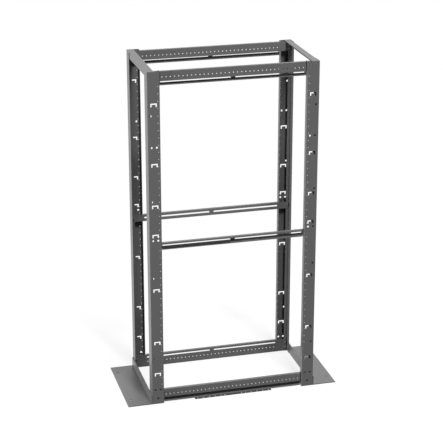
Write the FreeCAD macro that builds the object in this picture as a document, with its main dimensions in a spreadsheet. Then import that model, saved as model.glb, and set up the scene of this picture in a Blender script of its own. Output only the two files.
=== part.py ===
import FreeCAD, Part
import Sketcher
import os

# Four-post open frame rack: folded steel posts and cross beams bolted into an open frame
# that stands on two wide base angles. X runs to the right seen from the front, Y runs to
# the rear, Z is up. The origin is on the floor, in the middle of the footprint.

doc = FreeCAD.newDocument("open_frame_rack")
dim = doc.addObject("Spreadsheet::Sheet", "dim")

# Overall sizes in millimetres: 84 in tall, 41.5 in over the posts, 22.75 in deep.
SIZES = {
    "height": 2133.6,
    "width": 1054.1,
    "depth": 577.85,
    "gauge": 3.0,
    "over": 1.0,
    # Post section: a 3 in web with a short inner lip and a deep outer flange.
    "web_wide": 76.2,
    "lip_deep": 33.0,
    "flange_deep": 72.0,
    "fin_reach": 25.0,
    # Openings in the post web; ports, singles and pairs stand at shares of the height.
    "port_wide": 40.0,
    "port_tall": 22.0,
    "port_bar": 8.0,
    "port_a": 0.9111,
    "port_b": 0.7382,
    "port_c": 0.6163,
    "port_d": 0.5292,
    "port_e": 0.3632,
    "port_f": 0.1987,
    "port_g": 0.0994,
    "bolt_wide": 12.5,
    "single_in": 19.0,
    "pair_half": 16.0,
    "single_a": 0.8755,
    "single_b": 0.6262,
    "single_c": 0.3960,
    "single_d": 0.1453,
    "pair_a": 0.7846,
    "pair_b": 0.5104,
    "pair_low": 95.0,
    "foot_hole": 37.0,
    # Rack unit row along the inner edge of each web.
    "unit_pitch": 44.45,
    "unit_start": 88.9,
    "unit_end": 80.0,
    "unit_hole": 4.0,
    "unit_in": 12.5,
    # Cross beams: a plate tabbed behind the posts, folded into a channel between them.
    "beam_drop": 4.2,
    "beam_tall": 83.5,
    "beam_front": 16.0,
    "beam_tab": 10.0,
    "beam_gap": 5.0,
    "beam_lip": 59.0,
    "foot_lip": 54.0,
    "back_lip": 14.0,
    "beam_return": 17.5,
    "beam_rise": 3.0,
    "slot_drop": 59.5,
    "slot_tall": 11.0,
    "back_slot_tall": 8.0,
    "low_slot_tall": 9.0,
    "slot_end": 10.0,
    "bridge_wide": 29.0,
    "row_pitch": 25.4,
    "row_end": 16.0,
    "row_hole": 6.0,
    "row_drop": 34.5,
    "row_shift": 4.8,
    "high_step": 4.2,
    "foot_step": 8.0,
    # Middle beams: a lower channel at about half height.
    "mid_share": 0.4992,
    "mid_tall": 43.5,
    "mid_lip": 10.5,
    "mid_slot_drop": 14.8,
    "mid_slot_tall": 10.0,
    # Top side angles and base angles.
    "side_leg": 40.0,
    "side_drop": 38.0,
    "base_reach": 152.4,
    "base_thick": 6.0,
    "base_upstand": 64.0,
    "floor_hole": 15.0,
    "floor_in": 32.0,
    "floor_half": 203.2,
    # Bar with paired holes in the front middle beam.
    "bar_start": 18.0,
    "bar_margin": 6.0,
    "bar_tall": 16.0,
    "bar_back": 21.0,
    "cell_count": 16,
    "cell_hole": 8.0,
    "cell_half": 5.2,
    # Floor plate under the front bottom beam.
    "sill_long": 500.0,
    "sill_hole": 7.0,
    "sill_slot": 12.0,
    "sill_back": 3.5,
    "sill_end": 17.2,
    "sill_pitch": 38.1,
    "sill_count": 5,
}
for row, (alias, number) in enumerate(SIZES.items(), start=1):
    dim.set("A%d" % row, alias)
    dim.set("B%d" % row, str(number))
    dim.setAlias("B%d" % row, alias)
doc.recompute()

# The left post's outer face and the front plane, from which the left and front pieces are measured.
OUT = "-dim.width/2"
FRONT = "-dim.depth/2"
BEAM_TOP = "dim.height - dim.beam_drop"


def value(text):
    """The number that an expression on the sheet gives now."""
    return float(dim.evalExpression(text))


def piece(label):
    """A new body for one piece of the rack."""
    body = doc.addObject("PartDesign::Body", label)
    body.Label = label
    return body


def drawing(body, name, role, offset):
    """A sketch on one of the body's own planes, moved along the plane's normal."""
    sketch = body.newObject("Sketcher::SketchObject", name)
    plane = [f for f in body.Origin.OriginFeatures if f.Role == role][0]
    sketch.AttachmentSupport = (plane, [""])
    sketch.MapMode = "FlatFace"
    sketch.AttachmentOffset = FreeCAD.Placement(FreeCAD.Vector(0, 0, value(offset)), FreeCAD.Rotation())
    sketch.setExpression("AttachmentOffset.Base.z", offset)
    return sketch


def hold(sketch, line, point, across, up):
    """Fix one point of a sketch by its signed distances from the sketch's origin."""
    for kind, axis, text in (("DistanceX", -2, across), ("DistanceY", -1, up)):
        if text == "0":
            sketch.addConstraint(Sketcher.Constraint("PointOnObject", line, point, axis))
        elif value(text) > 0:
            index = sketch.addConstraint(Sketcher.Constraint(kind, -1, 1, line, point, value(text)))
            sketch.setExpression("Constraints[%d]" % index, text)
        else:
            index = sketch.addConstraint(Sketcher.Constraint(kind, line, point, -1, 1, -value(text)))
            sketch.setExpression("Constraints[%d]" % index, "-(%s)" % text)


def outline(sketch, corners):
    """A closed outline of straight lines through the given corners."""
    spots = [FreeCAD.Vector(value(across), value(up), 0) for across, up in corners]
    first, count = sketch.GeometryCount, len(spots)
    for i in range(count):
        sketch.addGeometry(Part.LineSegment(spots[i], spots[(i + 1) % count]))
    for i in range(count):
        sketch.addConstraint(Sketcher.Constraint("Coincident", first + i, 2, first + (i + 1) % count, 1))
    for i, (across, up) in enumerate(corners):
        hold(sketch, first + i, 1, across, up)


def box(sketch, left, low, right, high):
    """A rectangle between two opposite corners."""
    outline(sketch, [(left, low), (right, low), (right, high), (left, high)])


def square(sketch, across, up, wide):
    """A square hole about its centre."""
    box(sketch, "%s - %s/2" % (across, wide), "%s - %s/2" % (up, wide),
        "%s + %s/2" % (across, wide), "%s + %s/2" % (up, wide))


def eight(sketch, across, up, wide):
    """An eight-sided punched hole about its centre; its side is tan(22.5 deg) of its width."""
    half, side = "%s/2" % wide, "%s/2 * tan(22.5 deg)" % wide
    turns = [("-", half, "-", side), ("-", side, "-", half), ("+", side, "-", half), ("+", half, "-", side),
             ("+", half, "+", side), ("+", side, "+", half), ("-", side, "+", half), ("-", half, "+", side)]
    outline(sketch, [("%s %s %s" % (across, a, x), "%s %s %s" % (up, b, y)) for a, x, b, y in turns])


def ring(sketch, across, up, wide):
    """A round hole about its centre."""
    centre = FreeCAD.Vector(value(across), value(up), 0)
    index = sketch.addGeometry(Part.Circle(centre, FreeCAD.Vector(0, 0, 1), value(wide) / 2))
    hold(sketch, index, 3, across, up)
    bound = sketch.addConstraint(Sketcher.Constraint("Diameter", index, value(wide)))
    sketch.setExpression("Constraints[%d]" % bound, wide)


def feature(body, kind, name, sketch, length):
    """Pad or pocket a sketch; a pocket must take material away."""
    before = body.Shape.Volume if kind == "Pocket" else 0.0
    made = body.newObject("PartDesign::" + kind, name)
    made.Profile = sketch
    made.setExpression("Length", length)
    doc.recompute()
    if kind == "Pocket" and not made.Shape.Volume < before - 1.0:
        raise RuntimeError("%s cuts nothing" % name)
    return made


def bend(body, name, folded, spots):
    """Round the outside of a fold to the sheet's thickness, along its upright edges at the given spots."""
    edges = []
    for i, edge in enumerate(folded.Shape.Edges, start=1):
        ends = [(v.X, v.Y) for v in edge.Vertexes]
        if any(all(abs(x - value(a)) + abs(y - value(b)) < 0.01 for x, y in ends) for a, b in spots):
            edges.append("Edge%d" % i)
    if len(edges) != len(spots):
        raise RuntimeError("%s found %d edges" % (name, len(edges)))
    made = body.newObject("PartDesign::Fillet", name)
    made.Base = (folded, edges)
    made.setExpression("Radius", "dim.gauge")
    doc.recompute()


def repeat(body, name, original, axis, pitch, count):
    """Repeat one pocket along an axis of the body."""
    pattern = body.newObject("PartDesign::LinearPattern", name)
    pattern.Originals = [original]
    line = [f for f in body.Origin.OriginFeatures if f.Role == axis][0]
    pattern.Direction = (line, [""])
    pattern.setExpression("Occurrences", count)
    pattern.setExpression("Length", "%s * (%s - 1)" % (pitch, count))
    body.Tip = pattern
    doc.recompute()


def mirrored(label, source, normal):
    """The opposite-hand copy of a piece across a plane through the middle of the rack."""
    copy = doc.addObject("Part::Mirroring", label)
    copy.Label = label
    copy.Source = source
    copy.Normal = FreeCAD.Vector(*normal)
    return copy


SIDEWAYS, LENGTHWISE = (1, 0, 0), (0, 1, 0)

# Front left post: folded web, inner lip and outer flange, standing on the floor.
post = piece("post_front_left")
section = drawing(post, "post_section", "XY_Plane", "0")
outline(section, [
    (OUT, FRONT),
    (OUT + " + dim.web_wide", FRONT),
    (OUT + " + dim.web_wide", FRONT + " + dim.lip_deep"),
    (OUT + " + dim.web_wide - dim.gauge", FRONT + " + dim.lip_deep"),
    (OUT + " + dim.web_wide - dim.gauge", FRONT + " + dim.gauge"),
    (OUT + " + dim.gauge", FRONT + " + dim.gauge"),
    (OUT + " + dim.gauge", FRONT + " + dim.flange_deep"),
    (OUT, FRONT + " + dim.flange_deep"),
])
fold = feature(post, "Pad", "post_fold", section, "dim.height")
bend(post, "post_bends", fold, [(OUT, FRONT), (OUT + " + dim.web_wide", FRONT)])

# Bridge-shaped cable ports: a bar with two legs turned down, all on the web's middle line.
WEB_MID = OUT + " + dim.web_wide/2"
ports = drawing(post, "post_ports", "XZ_Plane", "dim.depth/2 + dim.over")
for letter in "abcdefg":
    top = "dim.height * dim.port_" + letter
    left, right = WEB_MID + " - dim.port_wide/2", WEB_MID + " + dim.port_wide/2"
    outline(ports, [
        (left, top + " - dim.port_tall"),
        (left + " + dim.port_bar", top + " - dim.port_tall"),
        (left + " + dim.port_bar", top + " - dim.port_bar"),
        (right + " - dim.port_bar", top + " - dim.port_bar"),
        (right + " - dim.port_bar", top + " - dim.port_tall"),
        (right, top + " - dim.port_tall"),
        (right, top),
        (left, top),
    ])
feature(post, "Pocket", "post_port_cut", ports, "dim.gauge + 2 * dim.over")

# Bolt holes: singles near the outer edge, pairs about the middle line, one at the foot.
bolts = drawing(post, "post_bolts", "XZ_Plane", "dim.depth/2 + dim.over")
for letter in "abcd":
    eight(bolts, OUT + " + dim.single_in", "dim.height * dim.single_" + letter, "dim.bolt_wide")
for sign in "-+":
    across = "%s %s dim.pair_half" % (WEB_MID, sign)
    ring(bolts, across, "dim.height * dim.pair_a", "dim.bolt_wide")
    eight(bolts, across, "dim.height * dim.pair_b", "dim.bolt_wide")
    eight(bolts, across, "dim.pair_low", "dim.bolt_wide")
eight(bolts, WEB_MID, "dim.foot_hole", "dim.bolt_wide")
feature(post, "Pocket", "post_bolt_cut", bolts, "dim.gauge + 2 * dim.over")

# Square holes one rack unit apart, close to the web's inner edge.
units = drawing(post, "post_units", "XZ_Plane", "dim.depth/2 + dim.over")
square(units, OUT + " + dim.web_wide - dim.unit_in", "dim.unit_start", "dim.unit_hole")
unit = feature(post, "Pocket", "post_unit_cut", units, "dim.gauge + 2 * dim.over")
repeat(post, "post_unit_row", unit, "Z_Axis", "dim.unit_pitch",
       "floor((dim.height - dim.unit_start - dim.unit_end) / dim.unit_pitch) + 1")

# Stiffening angle in the corner of the post; its fin carries the ends of the beams.
stiffener = piece("stiffener_front_left")
section = drawing(stiffener, "stiffener_section", "XY_Plane", "0")
outline(section, [
    (OUT + " + dim.gauge", FRONT + " + dim.gauge"),
    (OUT + " + 2 * dim.gauge", FRONT + " + dim.gauge"),
    (OUT + " + 2 * dim.gauge", FRONT + " + dim.lip_deep - dim.gauge"),
    (OUT + " + dim.fin_reach", FRONT + " + dim.lip_deep - dim.gauge"),
    (OUT + " + dim.fin_reach", FRONT + " + dim.lip_deep"),
    (OUT + " + dim.gauge", FRONT + " + dim.lip_deep"),
])
feature(stiffener, "Pad", "stiffener_fold", section, BEAM_TOP)


def beam(label, face, low, high, folds):
    """A cross beam: a plate tabbed over the fins, its front face given, and folds between the posts."""
    body = piece(label)
    reach = "dim.width/2 - dim.beam_tab"
    plate = drawing(body, label + "_plate", "XZ_Plane", "-(%s + dim.gauge)" % face)
    box(plate, "-(%s)" % reach, low, reach, high)
    feature(body, "Pad", label + "_web", plate, "dim.gauge")
    span = "(dim.width/2 - dim.web_wide - dim.beam_gap)"
    section = drawing(body, label + "_folds", "YZ_Plane", "-" + span)
    for corners in folds:
        outline(section, corners)
    feature(body, "Pad", label + "_channel", section, "2 * " + span)
    return body


def lipped(top, low, lip):
    """Folds of a beam in front: a lip hung from the top flange, and a low flange as deep as the top one."""
    inner, outer = FRONT + " + dim.lip_deep + dim.gauge", FRONT + " + dim.beam_front"
    return [[
        (inner, top),
        (outer, top),
        (outer, "%s - %s" % (top, lip)),
        (outer + " + dim.gauge", "%s - %s" % (top, lip)),
        (outer + " + dim.gauge", top + " - dim.gauge"),
        (inner, top + " - dim.gauge"),
    ], [(outer, low), (inner, low), (inner, low + " + dim.gauge"), (outer, low + " + dim.gauge")]]


def slots(body, face, low, high):
    """Two long slots through one wall of a beam, one each side of a short bridge at mid-length."""
    label = body.Label
    long = drawing(body, label + "_slots", "XZ_Plane", "dim.over - (%s)" % face)
    far = "dim.width/2 - dim.web_wide - dim.slot_end"
    for left, right in (("-(%s)" % far, "-dim.bridge_wide/2"), ("dim.bridge_wide/2", far)):
        box(long, left, low, right, high)
    feature(body, "Pocket", label + "_slot_cut", long, "dim.gauge + 2 * dim.over")


def rows(body, up, step, faces):
    """Holes an inch apart through each wall in turn, every row a step lower and a little to the right."""
    label = body.Label
    steps = "floor((dim.width - 2 * dim.web_wide - 2 * dim.row_end) / dim.row_pitch)"
    for turn, face in enumerate(faces):
        hole = drawing(body, "%s_hole_%d" % (label, turn), "XZ_Plane", "dim.over - (%s)" % face)
        square(hole, "-dim.row_pitch * %s/2 + (%d - 0.5) * dim.row_shift" % (steps, turn),
               "%s - %d * %s" % (up, turn, step), "dim.row_hole")
        cut = feature(body, "Pocket", "%s_cut_%d" % (label, turn), hole, "dim.gauge + 2 * dim.over")
        repeat(body, "%s_row_%d" % (label, turn), cut, "X_Axis", "dim.row_pitch", steps + " + 1")


# Front faces of the tabbed plates and of the walls folded from them, in front and at the rear.
TAB_FRONT, WALL_FRONT = FRONT + " + dim.lip_deep", FRONT + " + dim.beam_front"
TAB_REAR = "dim.depth/2 - dim.lip_deep - dim.gauge"
WALL_REAR = "dim.depth/2 - dim.beam_front - dim.gauge"
BEAM_LOW = BEAM_TOP + " - dim.beam_tall"
SILL_TOP = "dim.beam_rise + dim.beam_tall"
MID_TOP = "dim.height * dim.mid_share"
SLOT_TOP = BEAM_TOP + " - dim.slot_drop"

# Top front beam: a slotted plate with a drilled lip hung before it.
beam_top = beam("beam_top_front", TAB_FRONT, BEAM_LOW, BEAM_TOP, lipped(BEAM_TOP, BEAM_LOW, "dim.beam_lip"))
slots(beam_top, TAB_FRONT, SLOT_TOP + " - dim.slot_tall", SLOT_TOP)
rows(beam_top, BEAM_TOP + " - dim.row_drop", "dim.high_step", [WALL_FRONT, TAB_FRONT])

# Top rear beam: the same channel facing the same way, but tabbed on its short wall, slotted in the far one.
beam_rear = beam("beam_top_rear", TAB_REAR, BEAM_TOP + " - dim.beam_lip", BEAM_TOP, [[
    (TAB_REAR, BEAM_TOP),
    (WALL_REAR + " + dim.gauge", BEAM_TOP),
    (WALL_REAR + " + dim.gauge", BEAM_LOW),
    (TAB_REAR, BEAM_LOW),
    (TAB_REAR, BEAM_LOW + " + dim.gauge"),
    (WALL_REAR, BEAM_LOW + " + dim.gauge"),
    (WALL_REAR, BEAM_TOP + " - dim.gauge"),
    (TAB_REAR, BEAM_TOP + " - dim.gauge"),
]])
slots(beam_rear, WALL_REAR, SLOT_TOP + " - dim.back_slot_tall", SLOT_TOP)
rows(beam_rear, BEAM_TOP + " - dim.row_drop", "dim.high_step", [TAB_REAR, WALL_REAR])

# Front bottom beam: a closed plate behind a shorter lip, just clear of the floor.
beam_bottom = beam("beam_bottom_front", TAB_FRONT, "dim.beam_rise", SILL_TOP,
                   lipped(SILL_TOP, "dim.beam_rise", "dim.foot_lip"))
rows(beam_bottom, SILL_TOP + " - dim.row_drop", "dim.foot_step", [WALL_FRONT, TAB_FRONT])

# Rear bottom beam: upside down, its slots above, with a low lip behind and a short return on top.
beam_low = beam("beam_bottom_rear", TAB_REAR, "dim.beam_rise", SILL_TOP, [[
    (TAB_REAR, "dim.beam_rise"),
    (WALL_REAR + " + dim.gauge", "dim.beam_rise"),
    (WALL_REAR + " + dim.gauge", "dim.beam_rise + dim.back_lip"),
    (WALL_REAR, "dim.beam_rise + dim.back_lip"),
    (WALL_REAR, "dim.beam_rise + dim.gauge"),
    (TAB_REAR, "dim.beam_rise + dim.gauge"),
], [
    (TAB_REAR, SILL_TOP + " - dim.gauge"),
    (TAB_REAR + " + dim.beam_return", SILL_TOP + " - dim.gauge"),
    (TAB_REAR + " + dim.beam_return", SILL_TOP),
    (TAB_REAR, SILL_TOP),
]])
SLOT_HIGH = "dim.beam_rise + dim.slot_drop + dim.slot_tall"
slots(beam_low, TAB_REAR, SLOT_HIGH + " - dim.low_slot_tall", SLOT_HIGH)
rows(beam_low, "dim.beam_rise + dim.row_drop", "dim.foot_step", [TAB_REAR])

# Front middle beam: a low channel open to the front.
MID_LOW = MID_TOP + " - dim.mid_tall"
beam_mid = beam("beam_mid_front", TAB_FRONT, MID_LOW, MID_TOP, lipped(MID_TOP, MID_LOW, "dim.mid_lip"))
MID_SLOT = MID_TOP + " - dim.mid_slot_drop"
slots(beam_mid, TAB_FRONT, MID_SLOT + " - dim.mid_slot_tall", MID_SLOT)

# Left top side angle: its flat leg lies on both top beams, its hanging leg stays clear of the stiffeners.
side = piece("side_angle_left")
SIDE_IN, SIDE_TOP = OUT + " + dim.gauge", BEAM_TOP + " + dim.gauge"
flat = drawing(side, "side_flat", "XZ_Plane", "-(dim.depth/2 - dim.gauge)")
box(flat, SIDE_IN, BEAM_TOP, SIDE_IN + " + dim.side_leg", SIDE_TOP)
feature(side, "Pad", "side_top_leg", flat, "dim.depth - 2 * dim.gauge")
hang = drawing(side, "side_hang", "XZ_Plane", "-(dim.depth/2 - dim.lip_deep - dim.gauge)")
box(hang, SIDE_IN, SIDE_TOP + " - dim.side_drop", SIDE_IN + " + dim.gauge", SIDE_TOP)
feature(side, "Pad", "side_hanging_leg", hang, "dim.depth - 2 * (dim.lip_deep + dim.gauge)")

# Left base angle: a wide plate on the floor with an upstand against the outside of the posts.
base = piece("base_angle_left")
section = drawing(base, "base_section", "XZ_Plane", FRONT)
outline(section, [
    (OUT, "0"),
    (OUT, "dim.base_upstand"),
    (OUT + " - dim.base_thick", "dim.base_upstand"),
    (OUT + " - dim.base_thick", "dim.base_thick"),
    (OUT + " - dim.base_reach", "dim.base_thick"),
    (OUT + " - dim.base_reach", "0"),
])
feature(base, "Pad", "base_fold", section, "dim.depth")
anchors = drawing(base, "base_anchors", "XY_Plane", "dim.base_thick + dim.over")
for sign in "-+":
    ring(anchors, OUT + " - dim.base_reach + dim.floor_in", "0 %s dim.floor_half" % sign, "dim.floor_hole")
feature(base, "Pocket", "base_anchor_cut", anchors, "dim.base_thick + 2 * dim.over")

# Bar with paired holes, standing on the low flange of the front middle beam, left of the bridge.
bar = piece("grounding_bar")
BAR_LOW = MID_LOW + " + dim.gauge"
BAR_END = "dim.bar_start + 2 * dim.bar_margin + dim.cell_count * dim.row_pitch"
face = drawing(bar, "bar_face", "XZ_Plane", "dim.depth/2 - dim.bar_back - dim.gauge")
box(face, "-(%s)" % BAR_END, BAR_LOW, "-dim.bar_start", BAR_LOW + " + dim.bar_tall")
feature(bar, "Pad", "bar_plate", face, "dim.gauge")
cells = drawing(bar, "bar_cells", "XZ_Plane", "dim.depth/2 - dim.bar_back + dim.over")
for sign in "-+":
    square(cells, "-(%s) + dim.bar_margin + dim.row_pitch/2 %s dim.cell_half" % (BAR_END, sign),
           BAR_LOW + " + dim.bar_tall/2", "dim.cell_hole")
cell = feature(bar, "Pocket", "bar_cell_cut", cells, "dim.gauge + 2 * dim.over")
repeat(bar, "bar_cell_row", cell, "X_Axis", "dim.row_pitch", "dim.cell_count")

# Floor plate under the front bottom beam, with two groups of short slots along its front edge:
# each group is an even row from the plate's end, and one more slot at the beams' closer pitch.
sill = piece("sill_plate")
face = drawing(sill, "sill_face", "XY_Plane", "0")
box(face, "-dim.sill_long/2", FRONT, "dim.sill_long/2", FRONT + " + dim.lip_deep + dim.gauge")
feature(sill, "Pad", "sill_sheet", face, "dim.beam_rise")
dots = drawing(sill, "sill_slots", "XY_Plane", "dim.beam_rise + dim.over")
near = FRONT + " + dim.sill_back"
insets = ["dim.sill_end + %d * dim.sill_pitch" % step for step in range(SIZES["sill_count"])]
insets.append(insets[-1] + " + dim.row_pitch")
for sign in "-+":
    for inset in insets:
        middle = "0 %s (dim.sill_long/2 - (%s))" % (sign, inset)
        box(dots, middle + " - dim.sill_hole/2", near,
            middle + " + dim.sill_hole/2", near + " + dim.sill_slot")
feature(sill, "Pocket", "sill_slot_cut", dots, "dim.beam_rise + 2 * dim.over")

# Opposite-hand pieces.
post_right = mirrored("post_front_right", post, SIDEWAYS)
post_rear = mirrored("post_rear_left", post, LENGTHWISE)
post_rear_right = mirrored("post_rear_right", post_rear, SIDEWAYS)
stiffener_right = mirrored("stiffener_front_right", stiffener, SIDEWAYS)
stiffener_rear = mirrored("stiffener_rear_left", stiffener, LENGTHWISE)
stiffener_rear_right = mirrored("stiffener_rear_right", stiffener_rear, SIDEWAYS)
beam_mid_rear = mirrored("beam_mid_rear", beam_mid, LENGTHWISE)
side_right = mirrored("side_angle_right", side, SIDEWAYS)
base_right = mirrored("base_angle_right", base, SIDEWAYS)
doc.recompute()

NODES = [
    post, post_right, post_rear, post_rear_right,
    stiffener, stiffener_right, stiffener_rear, stiffener_rear_right,
    beam_top, beam_rear, beam_mid, beam_mid_rear, beam_bottom, beam_low,
    side, side_right, base, base_right, bar, sill,
]

# Nothing is written unless every object and every piece is sound.
for item in doc.Objects:
    if {"Invalid", "Error"} & set(item.State):
        raise RuntimeError("%s did not build: %s" % (item.Label, item.State))
for node in NODES:
    shape = node.Shape
    if shape.isNull() or not shape.isValid() or len(shape.Solids) != 1:
        raise RuntimeError("%s is not one sound solid" % node.Label)

os.makedirs("parts", exist_ok=True)
for node in NODES:
    node.Shape.exportStep("parts/%s.step" % node.Label)
    extent = node.Shape.BoundBox
    print("%-22s %8.1f cm3  x %8.1f %8.1f  y %8.1f %8.1f  z %8.1f %8.1f" % (
        node.Label, node.Shape.Volume / 1000, extent.XMin, extent.XMax,
        extent.YMin, extent.YMax, extent.ZMin, extent.ZMax))
print("steel, kg:", round(sum(node.Shape.Volume for node in NODES) * 7.85e-6, 1))
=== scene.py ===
# %% [markdown]
# # A four-post open frame rack
# The rack comes in as a fixed frame of folded steel pieces, already at real size and in metres.
# This lesson gives that frame its paint, adds the bolts that hold it together, and sets up the
# light and the camera. Nothing of the frame itself is moved or reshaped here.

import bmesh
import bpy
import numpy as np
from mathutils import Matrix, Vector


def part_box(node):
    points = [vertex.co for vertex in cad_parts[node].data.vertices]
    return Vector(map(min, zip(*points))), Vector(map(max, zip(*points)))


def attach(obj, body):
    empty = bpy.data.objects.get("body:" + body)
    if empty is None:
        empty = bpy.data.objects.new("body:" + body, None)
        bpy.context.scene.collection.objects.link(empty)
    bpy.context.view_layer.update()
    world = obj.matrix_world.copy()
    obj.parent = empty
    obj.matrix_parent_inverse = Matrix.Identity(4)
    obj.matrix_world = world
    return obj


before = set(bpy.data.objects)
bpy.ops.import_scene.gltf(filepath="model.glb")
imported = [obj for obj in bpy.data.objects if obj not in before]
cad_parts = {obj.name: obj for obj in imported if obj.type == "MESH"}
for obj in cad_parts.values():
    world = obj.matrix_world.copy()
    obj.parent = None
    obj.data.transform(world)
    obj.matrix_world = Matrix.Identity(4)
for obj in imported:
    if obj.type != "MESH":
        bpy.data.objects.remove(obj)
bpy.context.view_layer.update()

SCENE = bpy.context.scene
print("frame nodes:", len(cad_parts))

# %% [markdown]
# ## Camera
# The rack was photographed from a little to the left and from above its middle, with a long lens,
# so its upright edges lean together only slightly. The camera is placed by an azimuth, an
# elevation and a distance from a point on the rack's middle line, which is easier to tune than
# a position and three angles.

# %% camera
AZIMUTH, ELEVATION = np.radians(-15.12), np.radians(20.02)
CAMERA_DISTANCE = 9.413
CAMERA_TARGET = Vector((-0.00165, 0.0, 1.0662))
IMAGE_PIXELS = 443
FOCAL_PIXELS = 1501.0
SENSOR_MM = 36.0
CLIP_FAR = 100.0

back = Vector((
    np.sin(AZIMUTH) * np.cos(ELEVATION),
    -np.cos(AZIMUTH) * np.cos(ELEVATION),
    np.sin(ELEVATION),
))
camera = bpy.data.objects.new("camera", bpy.data.cameras.new("camera"))
camera.data.sensor_width = SENSOR_MM
camera.data.lens = FOCAL_PIXELS / IMAGE_PIXELS * SENSOR_MM
camera.data.clip_end = CLIP_FAR
camera.location = CAMERA_TARGET + back * CAMERA_DISTANCE
camera.rotation_mode = "QUATERNION"
camera.rotation_quaternion = (-back).to_track_quat("-Z", "Y")
SCENE.collection.objects.link(camera)
SCENE.camera = camera
print("lens, mm:", round(camera.data.lens, 1), "camera at:", [round(v, 3) for v in camera.location])

# %% [markdown]
# ## Studio light
# The front of the rack is evenly lit from high in front, and the hollows of its folded sections
# are almost black. So most of the light is one far key panel, with weaker ones on the left, on the
# right and behind, and very little from all around. One broad light would be simpler, but it would
# fill the hollows. The panels are left out of reflections, which show the white surroundings and
# the rack itself. The view transform is the plain one, so that a paint renders about as written.

# %% lamps
SCENE.view_settings.view_transform = "Standard"
MIDDLE = Vector((0.0, 0.0, 1.05))
# Each panel's place and side in metres, and its power in watts.
PANELS = {
    "left_panel": ((-9.0, -1.3, 2.0), 2.0, 810.0),
    "key_panel": ((1.46, -13.17, 21.05), 5.0, 6800.0),
    "right_panel": ((5.0, -0.5, 5.0), 2.0, 130.0),
    "back_panel": ((1.6, 5.0, 2.6), 3.0, 190.0),
}


def panel(name, place, side, watts):
    """A square soft light at a place, turned to the rack's middle and left out of reflections."""
    lamp = bpy.data.lights.new(name, "AREA")
    lamp.shape = "SQUARE"
    lamp.size = side
    lamp.energy = watts
    holder = bpy.data.objects.new(name, lamp)
    holder.location = place
    holder.rotation_mode = "QUATERNION"
    holder.rotation_quaternion = (MIDDLE - Vector(place)).to_track_quat("-Z", "Y")
    holder.visible_glossy = False
    SCENE.collection.objects.link(holder)


for name, settings in PANELS.items():
    panel(name, *settings)
print("lamps:", list(PANELS))

# %% [markdown]
# ## White surroundings
# The background is plain white. The camera and the reflections see a white world, while the paint
# is lit by a much dimmer one. A white wall behind the rack would do too, but it would end in other
# views. So the world itself chooses its strength by the kind of ray that reaches it.

# %% white world
AMBIENT = 0.03


def seen_directly(tree):
    """A 0-to-1 socket: camera, glossy or transmission ray, worked out as their sum, clamped."""
    path = tree.nodes.new("ShaderNodeLightPath")
    total = path.outputs["Is Camera Ray"]
    for ray in ("Is Glossy Ray", "Is Transmission Ray"):
        add = tree.nodes.new("ShaderNodeMath")
        add.operation = "ADD"
        add.use_clamp = True
        tree.links.new(total, add.inputs[0])
        tree.links.new(path.outputs[ray], add.inputs[1])
        total = add.outputs[0]
    return total


def mixed(tree, share, first, second):
    """A shader socket that goes from the first node to the second as the share goes from 0 to 1."""
    mix = tree.nodes.new("ShaderNodeMixShader")
    tree.links.new(share, mix.inputs[0])
    tree.links.new(first.outputs[0], mix.inputs[1])
    tree.links.new(second.outputs[0], mix.inputs[2])
    return mix.outputs[0]


world = bpy.data.worlds.new("white_room")
world.use_nodes = True
tree = world.node_tree
tree.nodes.clear()
ambient = tree.nodes.new("ShaderNodeBackground")
ambient.inputs["Strength"].default_value = AMBIENT
white = tree.nodes.new("ShaderNodeBackground")
white.inputs["Color"].default_value = (1.0, 1.0, 1.0, 1.0)
white.inputs["Strength"].default_value = 1.0
output = tree.nodes.new("ShaderNodeOutputWorld")
surface = mixed(tree, seen_directly(tree), ambient, white)
tree.links.new(surface, output.inputs["Surface"])
SCENE.world = world
print("world:", world.name, "with an ambient strength of", AMBIENT)

# %% [markdown]
# ## Floor
# The ground is plain white. Here it is a floor that mostly glows white where it is seen directly.
# Near the rack a share of it is an ordinary pale surface, so that a soft shadow shows where the
# rack stands, and this share fades away further out, where the floor meets the background. Lamps
# alone could make the floor white, but not without bleaching the paint. The floor throws little
# light back up, which keeps the hollows of the beams dark.

# %% floor paint
FLOOR_SHADOW_SHARE = 0.22
FLOOR_SEEN, FLOOR_BOUNCE = 0.8, 0.08
SHADOW_NEAR, SHADOW_FAR = 1.0, 2.6

floor_paint = bpy.data.materials.new("pale_floor")
floor_paint.use_nodes = True
tree = floor_paint.node_tree
tree.nodes.clear()
seen = seen_directly(tree)

matte = tree.nodes.new("ShaderNodeBsdfDiffuse")
bounce = tree.nodes.new("ShaderNodeMapRange")
bounce.inputs["To Min"].default_value = FLOOR_BOUNCE
bounce.inputs["To Max"].default_value = FLOOR_SEEN
tree.links.new(seen, bounce.inputs["Value"])
tree.links.new(bounce.outputs["Result"], matte.inputs["Color"])

place = tree.nodes.new("ShaderNodeTexCoord")
reach = tree.nodes.new("ShaderNodeVectorMath")
reach.operation = "LENGTH"
tree.links.new(place.outputs["Object"], reach.inputs[0])
fade = tree.nodes.new("ShaderNodeMapRange")
fade.interpolation_type = "SMOOTHSTEP"
fade.inputs["From Min"].default_value = SHADOW_NEAR
fade.inputs["From Max"].default_value = SHADOW_FAR
fade.inputs["To Min"].default_value = 1.0 - FLOOR_SHADOW_SHARE
fade.inputs["To Max"].default_value = 1.0
tree.links.new(reach.outputs["Value"], fade.inputs["Value"])

glow = tree.nodes.new("ShaderNodeEmission")
glow.inputs["Strength"].default_value = 1.0
share = tree.nodes.new("ShaderNodeMath")
share.operation = "MULTIPLY"
tree.links.new(seen, share.inputs[0])
tree.links.new(fade.outputs["Result"], share.inputs[1])
output = tree.nodes.new("ShaderNodeOutputMaterial")
surface = mixed(tree, share.outputs[0], matte, glow)
tree.links.new(surface, output.inputs["Surface"])
print("floor paint:", floor_paint.name, "with shadows out to", SHADOW_FAR, "m")

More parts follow.
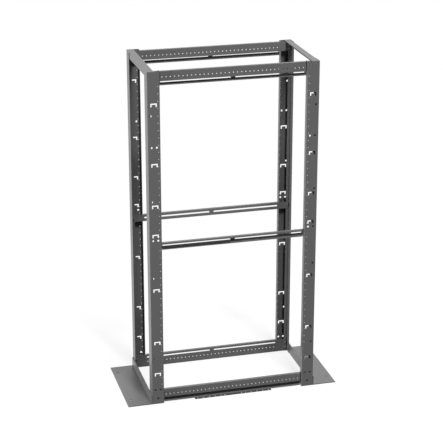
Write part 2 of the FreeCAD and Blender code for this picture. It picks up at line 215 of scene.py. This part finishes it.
# %% floor
FLOOR_HALF = 30.0
floor_mesh = bpy.data.meshes.new("floor")
corners = np.array([(-1, -1, 0), (1, -1, 0), (1, 1, 0), (-1, 1, 0)], float) * FLOOR_HALF
floor_mesh.from_pydata(corners.tolist(), [], [(0, 1, 2, 3)])
floor_mesh.materials.append(floor_paint)
floor = bpy.data.objects.new("floor", floor_mesh)
SCENE.collection.objects.link(floor)
print("floor:", 2 * FLOOR_HALF, "m square")

# %% [markdown]
# ## Paint
# The frame has a fine-textured dark grey powder coat with a satin gloss. The bar with paired holes
# is darker. The floor plate under the bottom front beam is darker still: painted shade, for the
# shadow that falls under that beam. The sides that the camera sees at a low angle are bright,
# because they mirror the white surroundings, and they darken near the base angles, which they
# mirror there instead. A brighter lamp on the left could lighten those sides too, but it would
# lighten the base with them. Seen straight on, the paint mirrors almost nothing, so the hollows
# stay dark: a dark specular tint weakens only that view. The grain is about a millimetre across, so
# it is a noise on
# Object coordinates that moves the colour a little and lifts the surface by a small bump.

# %% powder coat
GRAIN_PER_METRE, GRAIN_DETAIL = 900.0, 2.0
GRAIN_SPREAD = 0.10
GRAIN_DARK_AT, GRAIN_LIGHT_AT = 0.3, 0.7
LIGHT_GRAIN_BLUE = 1.01
GRAIN_LIFT_M, GRAIN_LIFT_SHARE = 0.00012, 0.35
PAINT_GLOSS = 0.4
STRAIGHT_ON_SHARE = 0.1


def powder_coat(name, grey, roughness):
    """Painted steel: a grey that varies by a share of itself from grain to grain."""
    paint = bpy.data.materials.new(name)
    paint.use_nodes = True
    nodes, links = paint.node_tree.nodes, paint.node_tree.links
    shader = nodes["Principled BSDF"]
    shader.inputs["Roughness"].default_value = roughness
    shader.inputs["Metallic"].default_value = 0.0
    shader.inputs["Specular IOR Level"].default_value = PAINT_GLOSS
    shader.inputs["Specular Tint"].default_value = (*[STRAIGHT_ON_SHARE] * 3, 1.0)
    place = nodes.new("ShaderNodeTexCoord")
    grain = nodes.new("ShaderNodeTexNoise")
    grain.inputs["Scale"].default_value = GRAIN_PER_METRE
    grain.inputs["Detail"].default_value = GRAIN_DETAIL
    links.new(place.outputs["Object"], grain.inputs["Vector"])
    tone = nodes.new("ShaderNodeValToRGB")
    low, high = grey * (1.0 - GRAIN_SPREAD), grey * (1.0 + GRAIN_SPREAD)
    dark, light = tone.color_ramp.elements
    dark.position, light.position = GRAIN_DARK_AT, GRAIN_LIGHT_AT
    dark.color = (low, low, low, 1.0)
    light.color = (high, high, high * LIGHT_GRAIN_BLUE, 1.0)
    links.new(grain.outputs["Fac"], tone.inputs["Fac"])
    links.new(tone.outputs["Color"], shader.inputs["Base Color"])
    lift = nodes.new("ShaderNodeBump")
    lift.inputs["Strength"].default_value = GRAIN_LIFT_SHARE
    lift.inputs["Distance"].default_value = GRAIN_LIFT_M
    links.new(grain.outputs["Fac"], lift.inputs["Height"])
    links.new(lift.outputs["Normal"], shader.inputs["Normal"])
    return paint


frame_paint = powder_coat("frame_paint", grey=0.130, roughness=0.33)
bar_paint = powder_coat("bar_paint", grey=0.055, roughness=0.45)
# The floor plate's near-black paint is painted shade: it stands for the shadow under the bottom
# front beam.
sill_painted_shade = powder_coat("sill_painted_shade", grey=0.045, roughness=0.50)
print("paints:", frame_paint.name, bar_paint.name, sill_painted_shade.name)

# %% painted nodes
# The sill plate gets the painted shade, and the grounding bar gets its darker paint.
DARK_PAINT = {"grounding_bar": bar_paint, "sill_plate": sill_painted_shade}
for name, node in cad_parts.items():
    node.data.materials.clear()
    node.data.materials.append(DARK_PAINT.get(name, frame_paint))
print("painted:", len(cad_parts), "nodes,", len(DARK_PAINT), "of them darker")

# %% [markdown]
# ## Bolts
# The tabs at the beams' ends are bolted to the fins inside the posts, and the posts' outer flanges
# to the base angles. In the photograph the heads are too small or too hidden to see, so their
# number and size are those usual on such a frame: M6 hexagon heads with a round flange. A head
# could be joined from a disc and a six-sided prism. One surface is shorter: its radius changes
# from a circle to a hexagon and back to a circle while it rises, so the flange, the six sides and
# the top follow. It starts and ends on its axis, which closes it below and above.

# %% bolt head
FLANGE_RADIUS, HALF_FLATS, TOP_RADIUS = 0.0071, 0.0050, 0.0046
STATION_RADIUS = np.array(
    [0.0, FLANGE_RADIUS, FLANGE_RADIUS, HALF_FLATS, HALF_FLATS, TOP_RADIUS, 0.0])
STATION_HEIGHT = np.array([0.0, 0.0, 0.0008, 0.0018, 0.0060, 0.0066, 0.0066])
STATION_SIX_SIDED = np.array([0.0, 0.0, 0.0, 1.0, 1.0, 0.0, 0.0])
AROUND = 36
FLAT_TURN = np.pi / 3.0


def head_points():
    """A head on a grid of stations s and angles t: the radius is R(s) times a share that goes
    from 1, a circle, to 1 / cos of t's distance from the nearest flat's middle, a hexagon."""
    turn = np.linspace(0.0, 2.0 * np.pi, AROUND, endpoint=False)
    from_flat = (turn + FLAT_TURN / 2.0) % FLAT_TURN - FLAT_TURN / 2.0
    swell = STATION_SIX_SIDED[:, None] * (1.0 / np.cos(from_flat) - 1.0)
    radius = STATION_RADIUS[:, None] * (1.0 + swell)
    height = np.repeat(STATION_HEIGHT[:, None], AROUND, axis=1)
    return np.stack([radius * np.cos(turn), radius * np.sin(turn), height], axis=-1)


def head_faces():
    """Four-sided faces between neighbouring stations and angles, where the last angle meets the
    first one again."""
    low = np.arange(len(STATION_RADIUS) - 1)[:, None] * AROUND
    high = low + AROUND
    here, there = np.arange(AROUND), np.roll(np.arange(AROUND), -1)
    return np.stack([low + here, low + there, high + there, high + here], axis=-1).reshape(-1, 4)


print("bolt head:", head_points().shape[:2], "points,", len(head_faces()), "faces")

# %% bolt heads on their seats
POLE_MERGE = 1e-6


def bolt_heads(name, seats, outwards):
    """Copies of the head: each point is its seat plus the head's point in turned axes, of which
    the third points outwards and the second up. At each pole, the points are merged into one."""
    head = head_points()
    up = np.broadcast_to([0.0, 0.0, 1.0], outwards.shape)
    axes = np.stack([np.cross(up, outwards), up, outwards], axis=1)
    points = seats[:, None, :] + head.reshape(1, -1, 3) @ axes
    faces = head_faces() + np.arange(len(seats))[:, None, None] * head[..., 0].size
    mesh = bpy.data.meshes.new(name)
    mesh.from_pydata(points.reshape(-1, 3).tolist(), [], faces.reshape(-1, 4).tolist())
    closed = bmesh.new()
    closed.from_mesh(mesh)
    bmesh.ops.remove_doubles(closed, verts=closed.verts, dist=POLE_MERGE)
    closed.to_mesh(mesh)
    closed.free()
    mesh.materials.append(frame_paint)
    piece = bpy.data.objects.new(name, mesh)
    SCENE.collection.objects.link(piece)
    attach(piece, "root")


# Places in the right rear quarter: in from a beam's end, down from its top, and on a post's flange.
TAB_END_IN = 0.0075
TAB_DROPS = {"beam_top": (0.0200, 0.0450), "beam_mid": (0.020093,), "beam_bottom": (0.0245, 0.0585)}
POST_SHEET = 0.0030
FLANGE_ALONG, FLANGE_HEIGHT = 0.2330, 0.0350
QUARTERS = np.array([(x, y, 1.0) for x in (-1.0, 1.0) for y in (-1.0, 1.0)])

tab_seats = []
for beam, drops in TAB_DROPS.items():
    low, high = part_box(beam + "_rear")
    tab_seats += [(high[0] - TAB_END_IN, low[1], high[2] - drop) for drop in drops]
tabs = (QUARTERS[:, None, :] * np.array(tab_seats)).reshape(-1, 3)
flange_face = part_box("post_rear_right")[1][0] - POST_SHEET
feet = QUARTERS * (flange_face, FLANGE_ALONG, FLANGE_HEIGHT)
bolt_heads("beam_bolts", tabs, -np.sign(tabs) * (0.0, 1.0, 0.0))
bolt_heads("base_bolts", feet, -np.sign(feet) * (1.0, 0.0, 0.0))
print("bolt heads:", len(tabs), "on the beams,", len(feet), "on the base angles")
